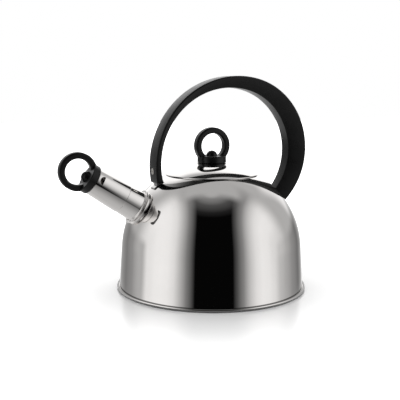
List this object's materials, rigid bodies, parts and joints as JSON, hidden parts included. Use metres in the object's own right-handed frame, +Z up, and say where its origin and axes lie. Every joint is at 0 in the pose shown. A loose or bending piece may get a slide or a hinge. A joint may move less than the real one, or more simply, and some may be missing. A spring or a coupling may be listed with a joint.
{
  "type": "stovetop whistling kettle",
  "caption": "Domed polished-steel stovetop kettle with a fixed black arch handle, a lift-off lid with a ring knob and a slip-on whistle cap over the spout.",
  "frame": {"origin": "centre of the flat underside of the base, on the surface that the kettle stands on", "axes": "+Z up, -X along the direction the spout points, the arch handle stands in the XZ plane"},
  "size_m": [0.2465, 0.1832, 0.2031],
  "materials": {
    "polished_steel": "mirror polished",
    "plain_steel": "satin",
    "fastener_steel": "polished",
    "aluminium_core": "satin",
    "black_plastic": "satin",
    "black_cap": "semi gloss"
  },
  "bodies": {
    "kettle": {"body_shell": "polished_steel", "base_pan": "polished_steel", "heat_spreader": "aluminium_core", "base_cover": "plain_steel", "spout_tube": "polished_steel", "spout_collar": "polished_steel", "handle": "black_plastic", "front_bracket": "plain_steel", "rear_bracket": "plain_steel", "front_screw": "fastener_steel", "rear_screw": "fastener_steel"},
    "lid": {"lid_shell": "polished_steel", "lid_skirt": "plain_steel", "lid_knob": "black_plastic", "lid_knob_screw": "black_cap", "lid_knob_washer": "fastener_steel", "lid_knob_nut": "fastener_steel"},
    "whistle": {"whistle_sleeve": "polished_steel", "whistle_skirt": "polished_steel", "whistle_lower_plate": "plain_steel", "whistle_upper_plate": "plain_steel", "grip_spring": "plain_steel", "whistle_knob": "black_plastic", "whistle_knob_screw": "black_cap", "whistle_knob_washer": "fastener_steel", "whistle_knob_nut": "fastener_steel"}
  },
  "joints": [
    {"name": "lid_lift", "type": "slide", "parent": "kettle", "child": "lid", "axis": [0, 0, 1], "range_m": [0, 0.03]},
    {"name": "whistle_pull", "type": "slide", "parent": "kettle", "child": "whistle", "axis": [-0.8453, 0, 0.5344], "range_m": [0, 0.045]}
  ]
}
